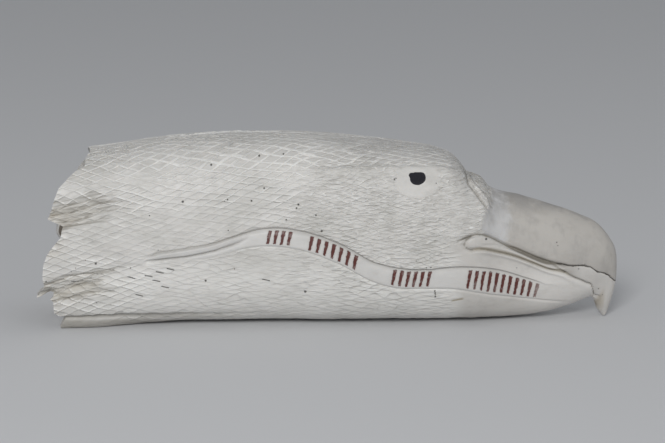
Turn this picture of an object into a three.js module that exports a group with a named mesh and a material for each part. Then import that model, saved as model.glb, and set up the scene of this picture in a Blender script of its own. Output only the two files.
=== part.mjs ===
// A sperm whale tooth carved as a bald eagle's head and neck, with a ribbon banner along neck and jaw.
// Millimetres, +Z up. +X runs from the open root to the beak, and the inscribed side faces -Y.
// The origin is in the middle of the base, at the level of the flattened underside.
import * as THREE from 'three';

// ---- the tooth's own form ------------------------------------------------------------------------------
// Each station is one cross-section between a point on the crown line and a point on the throat line. The
// sections stand upright along the neck and head, and fan round the front of the jaw to follow the hook.
// Columns: place along the tooth, crown x, crown z, throat x, throat z, half width, and how square the
// section is above and below its widest level (2 is an ellipse, more is squarer).
const STATIONS = [
  [-82, -82.0, 44.6, -82.0, -5.6, 17.5, 2.7, 3.0], // beyond the root's broken edge
  [-62, -62.0, 47.4, -62.0, -3.2, 18.6, 2.8, 3.0], // root, wide and flat below
  [-48, -48.0, 49.5, -48.0, -0.8, 19.4, 2.9, 2.8],
  [-30, -30.0, 51.1, -30.0, -0.2, 20.0, 3.0, 2.6],
  [-12, -12.0, 51.3, -12.0, -0.1, 20.0, 3.1, 2.5], // highest part of the neck
  [6, 6.0, 50.3, 6.0, -0.1, 19.6, 3.2, 2.5],
  [20, 20.0, 48.8, 20.0, -0.1, 18.9, 3.3, 2.5], // over the eye
  [30, 30.0, 47.4, 30.0, -0.1, 17.8, 3.2, 2.5],
  [34, 34.0, 45.9, 34.0, -0.1, 17.2, 3.1, 2.5], // forehead, which drops steeply from here
  [37, 37.0, 43.1, 37.0, 0.0, 16.6, 2.9, 2.5],
  [38.7, 38.7, 40.9, 38.7, 0.0, 16.2, 2.8, 2.5],
  [40.2, 40.2, 40.4, 40.2, 0.0, 15.8, 2.7, 2.5], // tuft of feathers over the beak
  [42.6, 42.6, 39.3, 42.6, 0.1, 15.0, 2.6, 2.4],
  [44.6, 44.6, 36.8, 44.6, 0.1, 14.0, 2.5, 2.4],
  [46, 46.0, 36.0, 46.0, 0.1, 13.3, 2.4, 2.4], // where the bare beak starts
  [53, 53.2, 34.2, 53.2, 0.5, 11.2, 2.3, 2.3],
  [61, 61.2, 31.7, 60.8, 1.5, 9.6, 2.3, 2.2],
  [68, 68.6, 29.3, 67.4, 3.3, 8.2, 2.2, 2.1],
  [74, 75.2, 25.9, 72.8, 5.3, 6.6, 2.2, 2.0], // front of the lower jaw
  [79, 79.3, 20.3, 73.8, 5.0, 5.2, 2.2, 2.0],
  [84, 80.3, 14.0, 74.4, 3.8, 4.2, 2.2, 2.0], // the beak's foremost point
  [90, 79.5, 6.6, 75.2, 1.9, 2.8, 2.2, 2.0],
  [94, 77.9, 0.7, 76.5, 0.2, 1.0, 2.0, 2.0], // tip of the hook
];

// The root ends in carved feather tips, broken here and there: x of the edge against height.
const ROOT_EDGE_NEAR = [
  [-1, -71.2], [0.9, -71.2], [2.3, -69.6], [3.6, -71.2], [5, -72.4], [7.2, -72.6], [8.2, -74.3],
  [9.2, -77.3], [10.6, -74.8], [15, -75.1], [18.4, -74.7], [21.4, -73.6], [23.8, -71.8], [26, -69.9],
  [29.4, -69.4], [31.6, -73.6], [33.5, -72.6], [36.6, -71.3], [38.8, -70.3], [41, -68.3], [43.2, -66.2],
  [44.4, -63.9], [46.4, -63.9], [47.8, -62.4], [50, -61.8],
];
const ROOT_EDGE_FAR = [
  [-1, -73], [3, -74.2], [7, -73.5], [11, -75.6], [17.5, -75.2], [19.5, -76.6], [22, -76.3], [27, -74.5],
  [33, -70.8], [35, -71.8], [40, -68.5], [44.5, -64.8], [46, -65.5], [50, -62.5],
];

const HOOK_END = 94; // place of the last section
const ROOT_MIDDLE = -72; // about where the root's edge lies
const EDGE_ZONE_END = -50; // up to here the sections lean to follow the root's edge
const UPRIGHT_END = 60; // up to here a height on the side is measured straight up
const HEAD_SECTIONS = 76;
const EDGE_SECTIONS = 11;

// ---- the pulp cavity -----------------------------------------------------------------------------------
const CAVITY_SHARE = 0.84; // of the outer section at its mouth
const CAVITY_END = -22; // x of its pointed inner end
const CAVITY_SECTIONS = 11;
const CAVITY_TAPER = 0.72;
const EDGE_BEVEL = 1.2; // how far the cavity's mouth lies inside the feather tips

// ---- lines of the carving on the side, height against x ------------------------------------------------
const GROOVE_LINE = [[-80, 2.3], [-66, 2.9], [-52, 3.1], [-30, 3.6], [60, 4.4]];
const RIBBON_LOW = [
  [-80, 5.4], [-47, 19.4], [-41, 20.2], [-36, 20.7], [-31, 21.5], [-27.6, 22.2], [-22, 23.3], [-16, 24.0],
  [-9, 23.5], [3, 19.3], [13, 13.7], [19, 11.9], [26, 11.5], [34, 11.1], [47, 8.3], [60, 5.9],
];
const RIBBON_TOP = [
  [-80, 7.9], [-47, 20.9], [-43.7, 22.2], [-39, 23.0], [-34, 23.9], [-30, 24.7], [-25, 26.4], [-17, 28.8],
  [-14, 29.1], [-6.5, 28.3], [5, 24.1], [13, 19.4], [19, 17.7], [26, 17.0], [36, 17.6], [44, 16.6],
  [56, 12.4], [60, 10.9],
];
const MOUTH_LINE = [
  [-80, 30.8], [-50, 36.6], [-30, 37.0], [-5, 34.5], [20, 29.5], [35, 25.0], [40, 26.7], [50, 22.4],
  [60, 17.6], [66, 16.1], [72, 15.3], [80, 10.3],
];
const LIP_LINE = [[36.5, 22.6], [43, 22.1], [51, 19.7], [60, 15.5], [68, 12.2], [72.6, 9.4], [73.8, 6.0]];
const BROW_LINE = [
  [-80, 43.6], [-60, 44.6], [-5, 44.8], [25, 44.7], [33, 44.0], [38, 41.4], [44, 34.4], [60, 29.4],
];

const ROLL_HEIGHT = 0.6;
const RIBBON_LOW_LIFT = 0.1; // the ribbon lies under the plumage at its upper edge and slopes out from there
const RIBBON_TOP_INSET = 0.5;
const RIBBON_STEP = 0.35; // half the width of its edges
const RIBBON_START = -20; // behind this the ribbon is twisted into a narrow roll
const RIBBON_FADE = 56;
const BROW_SHELF = 0.7;
const CROWN_INSET = 0.5;
const BROW_START = -8;
const BROW_END = 39;
const EYE = { x: 24.5, z: 40.2, halfLength: 8.5, halfHeight: 3.4, depth: 1.3 };
const CHEEK = { x: 8, z: 35, halfLength: 24, halfHeight: 5.5, depth: 0.7 };
const MOUTH = { start: 34.5, end: 66, depth: 1.3, halfWidth: 0.9 };
const LIP = { start: 37, end: 74, depth: 0.7, halfWidth: 0.8 };
const TUFT = { x: 41.0, z: 37.2, halfLength: 2.4, halfHeight: 2.6, height: 0.4 };
const BEAK_STEP = { x: 43.2, width: 1.4, depth: 0.5 };
const UPPER_FLUTE = { from: [-78, 30.2], to: [-50, 36.5], depth: 1.3, halfWidth: 2.2 };
const LOWER_FLUTE = { from: [-78, 8.2], to: [-46, 19.6], depth: 1.5, halfWidth: 2.4 };
const BASE_FLUTE = { from: [-74, 2.4], to: [-30, 3.6], depth: 0.9, halfWidth: 0.9 };

// ---- small tools ---------------------------------------------------------------------------------------
const clamp = (value, low, high) => Math.min(Math.max(value, low), high);
const mix = (from, to, share) => from + (to - from) * share;
const hump = (distance, halfWidth) => Math.exp(-((distance / halfWidth) ** 2));

function ramp(value, start, end) {
  const share = clamp((value - start) / (end - start), 0, 1);
  return share * share * (3 - 2 * share);
}

// A smooth curve through points [place, value, ...], read at any place for the given column.
function curve(points, column = 1) {
  const places = points.map((point) => point[0]);
  const values = points.map((point) => point[column]);
  const last = points.length - 1;
  const gaps = places.slice(1).map((place, i) => place - places[i]);
  const rises = gaps.map((gap, i) => (values[i + 1] - values[i]) / gap);
  const slopes = places.map((place, i) => {
    if (i === 0) return rises[0];
    if (i === last) return rises[last - 1];
    return (rises[i - 1] * gaps[i] + rises[i] * gaps[i - 1]) / (gaps[i] + gaps[i - 1]);
  });
  return (place) => {
    const at = clamp(place, places[0], places[last]);
    let i = 0;
    while (i < last - 1 && at >= places[i + 1]) i += 1;
    const t = (at - places[i]) / gaps[i];
    const t2 = t * t;
    const t3 = t2 * t;
    return (
      (2 * t3 - 3 * t2 + 1) * values[i] +
      (t3 - 2 * t2 + t) * gaps[i] * slopes[i] +
      (3 * t2 - 2 * t3) * values[i + 1] +
      (t3 - t2) * gaps[i] * slopes[i + 1]
    );
  };
}

// A broken edge: straight lines between its points.
function brokenLine(points) {
  return (place) => {
    const at = clamp(place, points[0][0], points[points.length - 1][0]);
    const i = Math.max(1, points.findIndex((point) => point[0] >= at));
    const [start, end] = [points[i - 1], points[i]];
    return mix(start[1], end[1], (at - start[0]) / (end[0] - start[0]));
  };
}

const stationColumns = [1, 2, 3, 4, 5, 6, 7].map((column) => curve(STATIONS, column));
const grooveLine = curve(GROOVE_LINE);
const ribbonLow = curve(RIBBON_LOW);
const ribbonTop = curve(RIBBON_TOP);
const mouthLine = curve(MOUTH_LINE);
const lipLine = curve(LIP_LINE);
const browLine = curve(BROW_LINE);
const rootEdgeNear = brokenLine(ROOT_EDGE_NEAR);
const rootEdgeFar = brokenLine(ROOT_EDGE_FAR);

// ---- the smooth form -----------------------------------------------------------------------------------
function section(place) {
  const values = stationColumns.map((read) => read(place));
  const [crownX, crownZ, throatX, throatZ, halfWidth, squareTop, squareLow] = values;
  const halfHeight = Math.hypot(crownX - throatX, crownZ - throatZ) / 2;
  return {
    x: (crownX + throatX) / 2,
    z: (crownZ + throatZ) / 2,
    upX: (crownX - throatX) / (2 * halfHeight),
    upZ: (crownZ - throatZ) / (2 * halfHeight),
    throatZ,
    height: crownZ - throatZ,
    halfHeight,
    halfWidth,
    squareTop,
    squareLow,
  };
}

// The angle, seen along the tooth, at which the outline reaches a share of the section's height. 0 is the
// near side, a quarter turn is the crown.
function angleAt(cut, share) {
  const level = clamp(2 * share - 1, -0.9999, 0.9999);
  const square = level > 0 ? cut.squareTop : cut.squareLow;
  const side = cut.halfWidth * (1 - Math.abs(level) ** square) ** (1 / square);
  return Math.atan2(cut.halfHeight * level, side);
}

function onOutline(cut, angle, lift) {
  const across = Math.cos(angle);
  const up = Math.sin(angle);
  const square = up > 0 ? cut.squareTop : cut.squareLow;
  const outward = Math.abs(across / cut.halfWidth) ** square + Math.abs(up / cut.halfHeight) ** square;
  const reach = outward ** (-1 / square) + lift;
  return new THREE.Vector3(cut.x + cut.upX * reach * up, -reach * across, cut.z + cut.upZ * reach * up);
}

// ---- the carving ---------------------------------------------------------------------------------------
function fluteDepth(flute, x, z) {
  const along = clamp((x - flute.from[0]) / (flute.to[0] - flute.from[0]), 0, 1);
  const middle = mix(flute.from[1], flute.to[1], along);
  return flute.depth * (1 - ramp(along, 0.35, 1)) * hump(z - middle, flute.halfWidth);
}

const dish = (place, x, z) =>
  place.depth * hump(Math.hypot((x - place.x) / place.halfLength, (z - place.z) / place.halfHeight), 1);

function line(cut, x, distance) {
  const fade = ramp(x, cut.start, cut.start + 3) * (1 - ramp(x, cut.end - 4, cut.end));
  return cut.depth * fade * hump(distance, cut.halfWidth);
}

// How far the carved surface stands out from the smooth form (negative: cut in) at a point on a side.
// The side away from the inscription is plainer: its ribbon is flat and it has no tuft.
function carving(x, z, near) {
  let lift = 0;
  const inRibbon =
    ramp(z, ribbonLow(x) - RIBBON_STEP, ribbonLow(x) + RIBBON_STEP) *
    (1 - ramp(z, ribbonTop(x) - RIBBON_STEP, ribbonTop(x) + RIBBON_STEP));
  const across = clamp((z - ribbonLow(x)) / (ribbonTop(x) - ribbonLow(x)), 0, 1);
  const sloping = mix(RIBBON_LOW_LIFT, -RIBBON_TOP_INSET, across);
  const ribbonRise = mix(ROLL_HEIGHT, sloping, ramp(x, RIBBON_START - 4, RIBBON_START + 4));
  lift += ribbonRise * inRibbon * ramp(x, -52, -42) * (1 - ramp(x, RIBBON_FADE - 6, RIBBON_FADE + 10));

  const alongBrow = ramp(x, BROW_START, BROW_START + 12) * (1 - ramp(x, BROW_END - 4, BROW_END));
  const belowBrow = browLine(x) - z;
  lift += BROW_SHELF * alongBrow * hump(belowBrow - 1.2, 1.6);
  lift -= CROWN_INSET * alongBrow * ramp(-belowBrow, -0.3, 0.5) * (1 - ramp(-belowBrow, 1.5, 6));

  lift -= dish(EYE, x, z) + dish(CHEEK, x, z);
  lift -= line(MOUTH, x, z - mouthLine(x)) + line(LIP, x, z - lipLine(x));
  lift -= BEAK_STEP.depth * ramp(x, BEAK_STEP.x - BEAK_STEP.width, BEAK_STEP.x) * (1 - ramp(x, 50, 62)) *
    ramp(z, mouthLine(x), mouthLine(x) + 2);
  if (near) {
    const fromTuft = Math.hypot((x - TUFT.x) / TUFT.halfLength, (z - TUFT.z) / TUFT.halfHeight);
    lift += TUFT.height * hump(fromTuft, 1);
  }
  lift -= fluteDepth(UPPER_FLUTE, x, z) + fluteDepth(LOWER_FLUTE, x, z) + fluteDepth(BASE_FLUTE, x, z);
  return lift;
}

// ---- where the surface is measured ---------------------------------------------------------------------
const spread = (from, to, count) => Array.from({ length: count }, (unused, i) => mix(from, to, i / count));

// Heights, as shares of the section, of the rows along a carved side, from the base's edge to the brow. The
// rows run along the carved lines, so that each edge of the carving is an edge of the solid.
function sideShares(cut, place) {
  const at = Math.min(place, UPRIGHT_END);
  const measured = place > UPRIGHT_END ? section(UPRIGHT_END) : cut;
  const share = (z) => (z - measured.throatZ) / measured.height;
  const base = Math.max(share(0), 0.004);
  const low = ribbonLow(at);
  const top = ribbonTop(at);
  return [
    ...spread(base, share(grooveLine(at)), 2),
    ...spread(share(grooveLine(at)), share(low - RIBBON_STEP), 3),
    ...spread(share(low - RIBBON_STEP), share(low + RIBBON_STEP), 1),
    ...spread(share(low + RIBBON_STEP), share(top - RIBBON_STEP), 2),
    ...spread(share(top - RIBBON_STEP), share(top + RIBBON_STEP), 1),
    ...spread(share(top + RIBBON_STEP), share(mouthLine(at)), 5),
    ...spread(share(mouthLine(at)), share(browLine(at)), 7),
    share(browLine(at)),
  ];
}

const CROWN_ROWS = 10;
const BASE_ROWS = 4;

// Angles of every row round one section: up the near side, over the crown, down the far side, and across
// the flattened base.
function rowAngles(cut, place) {
  const side = sideShares(cut, place).map((share) => angleAt(cut, share));
  const brow = side[side.length - 1];
  const crown = spread(brow, Math.PI - brow, CROWN_ROWS).slice(1);
  const kept = side.filter((angle, i) => i % 2 === 0 || i === side.length - 1);
  const farSide = kept.reverse().map((angle) => Math.PI - angle);
  const last = farSide[farSide.length - 1];
  const base = spread(last, side[0] + 2 * Math.PI, BASE_ROWS).slice(1);
  return [...side, ...crown, ...farSide, ...base];
}

function outerPoint(place, row) {
  const cut = section(place);
  const angle = rowAngles(cut, place)[row];
  const smooth = onOutline(cut, angle, 0);
  const sideways = ramp(Math.abs(Math.cos(angle)), 0.05, 0.35);
  const point = onOutline(cut, angle, sideways * carving(smooth.x, smooth.z, smooth.y < 0));
  point.z = Math.max(point.z, 0);
  return point;
}

const rowCount = rowAngles(section(0), 0).length;

// The root's edge for one row: near and far edges blend over the crown and across the base. The row's
// height depends on where the edge is, so the two are found together.
function rootEdge(row) {
  let place = ROOT_MIDDLE;
  for (let round = 0; round < 6; round += 1) {
    const cut = section(place);
    const smooth = onOutline(cut, rowAngles(cut, place)[row], 0);
    place = mix(rootEdgeFar(smooth.z), rootEdgeNear(smooth.z), ramp(-smooth.y, -6, 6));
  }
  return place;
}

// A point on the pulp cavity's wall: share 0 is its mouth, share 1 its inner end.
function cavityPoint(edge, row, share) {
  const place = mix(edge + EDGE_BEVEL, CAVITY_END, share);
  const cut = section(place);
  const wall = onOutline(cut, rowAngles(cut, place)[row], 0);
  const narrowing = CAVITY_SHARE * (1 - share) ** CAVITY_TAPER;
  return new THREE.Vector3(place, wall.y * narrowing, mix(cut.z, Math.max(wall.z, 0), narrowing));
}

// ---- the closed surface --------------------------------------------------------------------------------
function buildTooth() {
  const rows = Array.from({ length: rowCount }, (unused, row) => row);
  const edges = rows.map(rootEdge);
  const rings = [];

  for (const share of [...spread(1, 0, CAVITY_SECTIONS), 0].slice(1)) {
    rings.push(rows.map((row) => cavityPoint(edges[row], row, share)));
  }
  for (const share of spread(0, 1, EDGE_SECTIONS)) {
    rings.push(rows.map((row) => outerPoint(mix(edges[row], EDGE_ZONE_END, share), row)));
  }
  for (const place of [...spread(EDGE_ZONE_END, HOOK_END, HEAD_SECTIONS), HOOK_END]) {
    rings.push(rows.map((row) => outerPoint(place, row)));
  }
  return closedFromRings(rings);
}

// Rings of equal length joined in order, with the first and the last closed to a point in their middle.
function closedFromRings(rings) {
  const count = rings[0].length;
  const sumOf = (ring) => ring.reduce((sum, point) => sum.add(point), new THREE.Vector3());
  const middleOf = (ring) => sumOf(ring).divideScalar(count);
  const points = [...rings.flat(), middleOf(rings[0]), middleOf(rings[rings.length - 1])];
  const first = points.length - 2;
  const last = points.length - 1;
  const faces = [];
  for (let ring = 0; ring + 1 < rings.length; ring += 1) {
    for (let i = 0; i < count; i += 1) {
      const next = (i + 1) % count;
      const [a, b] = [ring * count + i, ring * count + next];
      const [c, d] = [a + count, b + count];
      faces.push(a, d, b, a, c, d);
    }
  }
  for (let i = 0; i < count; i += 1) {
    const next = (i + 1) % count;
    faces.push(first, i, next);
    faces.push(last, (rings.length - 1) * count + next, (rings.length - 1) * count + i);
  }
  const geometry = new THREE.BufferGeometry();
  const places = points.flatMap((point) => [point.x, point.y, point.z]);
  geometry.setAttribute('position', new THREE.Float32BufferAttribute(places, 3));
  geometry.setIndex(faces);
  return geometry;
}

const tooth = buildTooth();
tooth.computeBoundingBox();
const middle = tooth.boundingBox.getCenter(new THREE.Vector3());
tooth.translate(-middle.x, -middle.y, -tooth.boundingBox.min.z);
tooth.computeVertexNormals();

const ivory = new THREE.MeshStandardMaterial({ color: 0xcfccc2, roughness: 0.55, metalness: 0 });
const carvedTooth = new THREE.Mesh(tooth, ivory);
carvedTooth.name = 'carved_tooth';

const part = new THREE.Group();
part.name = 'scrimshaw_whale_tooth';
part.add(carvedTooth);

export default part;
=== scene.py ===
import math

import bpy
import numpy as np
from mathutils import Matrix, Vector


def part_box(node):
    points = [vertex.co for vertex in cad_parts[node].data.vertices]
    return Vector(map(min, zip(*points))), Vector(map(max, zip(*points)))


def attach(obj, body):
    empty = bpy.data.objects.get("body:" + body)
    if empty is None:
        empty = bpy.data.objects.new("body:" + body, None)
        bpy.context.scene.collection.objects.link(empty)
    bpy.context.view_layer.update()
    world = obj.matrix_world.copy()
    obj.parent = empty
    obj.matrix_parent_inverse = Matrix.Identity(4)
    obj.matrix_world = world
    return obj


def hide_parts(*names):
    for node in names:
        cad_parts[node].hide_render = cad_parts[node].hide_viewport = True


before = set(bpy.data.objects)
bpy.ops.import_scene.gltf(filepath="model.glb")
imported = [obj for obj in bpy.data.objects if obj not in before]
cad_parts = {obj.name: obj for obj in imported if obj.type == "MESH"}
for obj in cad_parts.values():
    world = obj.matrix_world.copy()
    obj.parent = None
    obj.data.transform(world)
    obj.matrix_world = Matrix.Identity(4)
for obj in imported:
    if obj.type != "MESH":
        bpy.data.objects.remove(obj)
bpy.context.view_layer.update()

# A sperm whale tooth carved as an eagle's head: one finely carved mesh stands for the plain CAD solid. The
# form is worked out in millimetres from the same sizes as the solid, then moved into its place in metres.
MM = 0.001
CAD_NODE = "carved_tooth"

# ---- the tooth's own form ----
# Upright sections: x, crown z, throat z, half width, and how square each is above and below its middle.
UPRIGHT_STATIONS = [
    [-82, 44.6, -5.6, 17.5, 2.7, 3.0],
    [-62, 47.4, -3.2, 18.6, 2.8, 3.0],
    [-48, 49.5, -0.8, 19.4, 2.9, 2.8],
    [-30, 51.1, -0.2, 20.0, 3.0, 2.6],
    [-12, 51.3, -0.1, 20.0, 3.1, 2.5],
    [6, 50.3, -0.1, 19.6, 3.2, 2.5],
    [20, 48.8, -0.1, 18.9, 3.3, 2.5],
    [30, 47.4, -0.1, 17.8, 3.2, 2.5],
    [34, 45.9, -0.1, 17.2, 3.1, 2.5],
    [37, 43.1, 0.0, 16.6, 2.9, 2.5],
    [38.7, 40.9, 0.0, 16.2, 2.8, 2.5],
    [40.2, 40.4, 0.0, 15.8, 2.7, 2.5],
    [42.6, 39.3, 0.1, 15.0, 2.6, 2.4],
    [44.6, 36.8, 0.1, 14.0, 2.5, 2.4],
    [46, 36.0, 0.1, 13.3, 2.4, 2.4],
]
# Leaning sections: place, crown x and z, throat x and z, half width, and how square above and below.
LEANING_STATIONS = [
    [53, 53.2, 34.2, 53.2, 0.5, 11.2, 2.3, 2.3],
    [61, 61.2, 31.7, 60.8, 1.5, 9.6, 2.3, 2.2],
    [68, 68.6, 29.3, 67.4, 3.3, 8.2, 2.2, 2.1],
    [74, 75.2, 25.9, 72.8, 5.3, 6.6, 2.2, 2.0],
    [79, 79.3, 20.3, 73.8, 5.0, 5.2, 2.2, 2.0],
    [84, 80.3, 14.0, 74.4, 3.8, 4.2, 2.2, 2.0],
    [90, 79.5, 6.6, 75.2, 1.9, 2.8, 2.2, 2.0],
    [94, 77.9, 0.7, 76.5, 0.2, 1.0, 2.0, 2.0],
]
STATIONS = np.array([[x, x, crown, x, *rest] for x, crown, *rest in UPRIGHT_STATIONS] + LEANING_STATIONS)
ROOT_EDGE_NEAR = [
    (-1, -71.2), (0.9, -71.2), (2.3, -69.6), (3.6, -71.2), (5, -72.4), (7.2, -72.6), (8.2, -74.3),
    (9.2, -77.3), (10.6, -74.8), (15, -75.1), (18.4, -74.7), (21.4, -73.6), (23.8, -71.8), (26, -69.9),
    (29.4, -69.4), (31.6, -73.6), (33.5, -72.6), (36.6, -71.3), (38.8, -70.3), (41, -68.3),
    (43.2, -66.2), (44.4, -63.9), (46.4, -63.9), (47.8, -62.4), (50, -61.8),
]
ROOT_EDGE_FAR = [
    (-1, -73), (3, -74.2), (7, -73.5), (11, -75.6), (17.5, -75.2), (19.5, -76.6), (22, -76.3),
    (27, -74.5), (33, -70.8), (35, -71.8), (40, -68.5), (44.5, -64.8), (46, -65.5), (50, -62.5),
]
HOOK_END = 94
ROOT_MIDDLE = -72
EDGE_ZONE_END = -50
UPRIGHT_END = 60
FACE_START = -6
EDGE_SECTIONS = 40
EDGE_TURNS = 8
NECK_SECTIONS = 72
FACE_SECTIONS = 182

CAVITY_SHARE = 0.84
CAVITY_END = -22
CAVITY_SECTIONS = 12
CAVITY_TAPER = 0.72
EDGE_BEVEL = 1.2
SHARP_ANGLE = math.radians(50)

# ---- lines of the carving on the side, height against x ----
GROOVE_LINE = [(-80, 2.3), (-66, 2.9), (-52, 3.1), (-30, 3.6), (60, 4.4)]
RIBBON_LOW = [
    (-80, 5.4), (-47, 19.4), (-41, 20.2), (-36, 20.5), (-31, 20.9), (-27.6, 21.8), (-22, 23.3), (-16, 24),
    (-9, 23.5), (3, 19.3), (13, 13.7), (19, 11.9), (26, 11.5), (34, 11.1), (47, 8.3), (60, 5.9), (69, 4.5),
]
RIBBON_TOP = [
    (-80, 7.9), (-47, 20.9), (-43.7, 22.2), (-39, 23), (-34, 23.9), (-30, 24.7), (-25, 26.4), (-17, 28.8),
    (-14, 29.1), (-6.5, 28.3), (5, 24.1), (13, 19.4), (19, 17.7), (26, 17), (36, 17.6), (44, 16.6),
    (56, 12.4), (60, 10.9),
]
MOUTH_LINE = [
    (-80, 30.8), (-50, 36.6), (-30, 37), (-5, 34.5), (20, 29.5), (35, 25), (40, 26.7), (50, 22.4),
    (60, 17.6), (66, 16.1), (72, 15.3), (80, 10.3),
]
CRACK_LINE = [(60, 17.6), (66, 16.1), (69, 16), (72, 15.3), (74, 13.9), (77, 12.9), (80, 10.3)]
LIP_LINE = [
    (37.5, 22.3), (43, 22.1), (46, 21.2), (51, 19.6), (56, 17.4), (60.2, 15.5), (65, 14), (67.7, 12.3),
    (71.3, 10.3), (73, 8.8), (73.8, 6),
]
BROW_LINE = [
    (-80, 43.6), (-60, 44.6), (-5, 44.8), (25, 44.7), (33, 44), (38, 41.4), (44, 34.4), (60, 29.4),
]
# x of the plumage's front edge against height.
PLUMAGE_END = [
    (-6, 36), (8, 34.5), (20, 34), (24.3, 34.6), (25.9, 41.4), (28, 41.7), (31, 42.5), (33.2, 43.7),
    (36, 44.8), (39.5, 44.9), (60, 46),
]

# Single cuts and ridges, each a path of (x, height) points.
TUFT_GROOVE = [(37.2, 44.6), (37.9, 42), (38.3, 39.8), (40, 37.7), (43.2, 33.4)]
TUFT_RIDGE = [(39, 40.4), (40.7, 38.3), (44, 34.5)]
ALMOND_EDGE = [(18.8, 39.9), (20.2, 38.9), (22.9, 37.4), (25.4, 37), (28.3, 38.2), (30.5, 39.6)]
FLANGE_END = [(38.9, 26.1), (37.6, 25.2), (37.1, 23.9), (37.6, 22.7), (39.4, 22.1)]
FLANGE_CREASE = [(42.3, 23.3), (45.5, 23), (48, 22.3), (52, 21)]
FLANGE_TIP = [(61, 17.1), (63, 15.7), (65.2, 13.9)]
ROLL_CUT = [(-47, 19.7), (-41.4, 20.5), (-37, 21), (-33, 21.8), (-29, 22.7), (-23, 24.8), (-20, 26.4)]
ROOT_CREASES = [
    [(-78, 31.5), (-73.4, 32.6), (-66.8, 33.7), (-59.9, 35.8), (-52, 36.5)],
    [(-74, 28.3), (-69.3, 29.1), (-63.4, 30.3), (-58, 31.8)],
    [(-74, 33.4), (-69, 34.8), (-63, 36.4), (-56, 38)],
    [(-70, 30.6), (-65, 31.6), (-60, 33.6), (-55, 34.6)],
    [(-78, 11), (-74.6, 12.2), (-70, 14), (-67.8, 15.2), (-63, 15.7), (-57, 17.2), (-48, 19.6)],
    [(-74, 9.6), (-71.7, 9.3), (-67.2, 11), (-60, 13.2)],
    [(-73, 7.4), (-68, 8.6), (-62, 10.4), (-56, 11)],
]

# Cuts round the fleshy edge of the mouth: path, depth and half width.
FLANGE_CUTS = [(FLANGE_END, 0.8, 0.5), (FLANGE_CREASE, 0.3, 0.3), (FLANGE_TIP, 0.5, 0.35)]

# Hollows that open towards the root: start, end, depth and half width.
ROOT_FOLDS = [
    ((-78, 29.8), (-50, 36.5), 1.6, 2.4),
    ((-78, 8.2), (-46, 19.2), 1.6, 2),
    ((-78, 44), (-56, 45.5), 0.5, 0.9),
    ((-74, 2.4), (-30, 3.6), 0.7, 1.1),
]

# Shallow hollows: middle, half length, half height and depth.
EYE_HOLLOW = ((24.5, 40.2), 8.5, 3.4, 1.3)
CHEEK_HOLLOW = ((8, 35), 24, 5.5, 0.7)

# Heights and depths of the larger carving, and the places where its parts start and end.
RIBBON_STEP = 0.2
RIBBON_LOW_LIFT = 0.1
RIBBON_TOP_INSET = 0.5
RIBBON_START = -56
RIBBON_END = 64
FLAT_RIBBON_START = -28
FLAT_RIBBON_FULL = -16
GROOVE_END = 60
ROLL_HEIGHT = 0.6
ROLL_CUT_DEPTH = 0.55
ROLL_END = -19
LOW_GROOVE_DEPTH = 0.32
NECK_GROOVE_DEPTH = 0.45
TOP_GROOVE_DEPTH = 0.2
UNDERCUT_DEPTH = 0.35
SWELLING = 0.15
BROW_SHELF = 0.7
CROWN_INSET = 0.6
BROW_START = -8
BROW_END = 37
MOUTH_MIDDLE = 54
MOUTH_HALF_LENGTH = 8
MOUTH_DEPTH = 1
MOUTH_EXTRA_DEPTH = 0.9
LIP_DEPTH = 0.75
FLANGE_SWELLING = 0.45
RIM_HEIGHT = 0.35
JAW_VALLEY = 0.55
BEAK_INSET = 0.75
HORN_STEP = 0.08
CREASE_DEPTH = 1
STRIP_GROOVE_DEPTH = 0.9
LOBE_HEIGHT = 0.5


# ---- small tools ----
def mix(start, end, share):
    return start + (end - start) * share


def ramp(value, start, end):
    share = np.clip((value - start) / (end - start), 0.0, 1.0)
    return share * share * (3 - 2 * share)


def hump(distance, half_width):
    return np.exp(-((distance / half_width) ** 2))


def curve(points, column=1):
    """A smooth curve through points (place, value, ...), read at any array of places."""
    table = np.asarray(points, float)
    places = table[:, 0]
    values = table[:, column]
    gaps = np.diff(places)
    rises = np.diff(values) / gaps
    slopes = np.empty_like(values)
    slopes[1:-1] = (rises[:-1] * gaps[1:] + rises[1:] * gaps[:-1]) / (gaps[1:] + gaps[:-1])
    slopes[0] = rises[0]
    slopes[-1] = rises[-1]

    def read(place):
        at = np.clip(place, places[0], places[-1])
        i = np.clip(np.searchsorted(places, at, side="right") - 1, 0, len(gaps) - 1)
        t = (at - places[i]) / gaps[i]
        t2 = t * t
        t3 = t2 * t
        start = (2 * t3 - 3 * t2 + 1) * values[i] + (t3 - 2 * t2 + t) * gaps[i] * slopes[i]
        end = (3 * t2 - 2 * t3) * values[i + 1] + (t3 - t2) * gaps[i] * slopes[i + 1]
        return start + end

    return read


def broken_line(points):
    table = np.asarray(points, float)
    return lambda place: np.interp(place, table[:, 0], table[:, 1])


def path_gap(x, z, path):
    """Distance from a path of straight lines."""
    gap = np.full(np.shape(x), 99.0)
    for (start_x, start_z), (end_x, end_z) in zip(path, path[1:]):
        run = end_x - start_x
        rise = end_z - start_z
        along = np.clip(((x - start_x) * run + (z - start_z) * rise) / (run * run + rise * rise), 0, 1)
        gap = np.minimum(gap, np.hypot(x - start_x - along * run, z - start_z - along * rise))
    return gap


def noise(x, y, size, seed):
    """Smooth random hills about size wide, from -1 to 1."""
    table = np.random.default_rng(seed).random((64, 64))
    u = np.asarray(x) / size + 100
    v = np.asarray(y) / size + 100
    i = np.floor(u).astype(int)
    j = np.floor(v).astype(int)
    s = u - i
    t = v - j
    s = s * s * (3 - 2 * s)
    t = t * t * (3 - 2 * t)
    low = mix(table[i % 64, j % 64], table[(i + 1) % 64, j % 64], s)
    high = mix(table[i % 64, (j + 1) % 64], table[(i + 1) % 64, (j + 1) % 64], s)
    return 2 * mix(low, high, t) - 1


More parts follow.
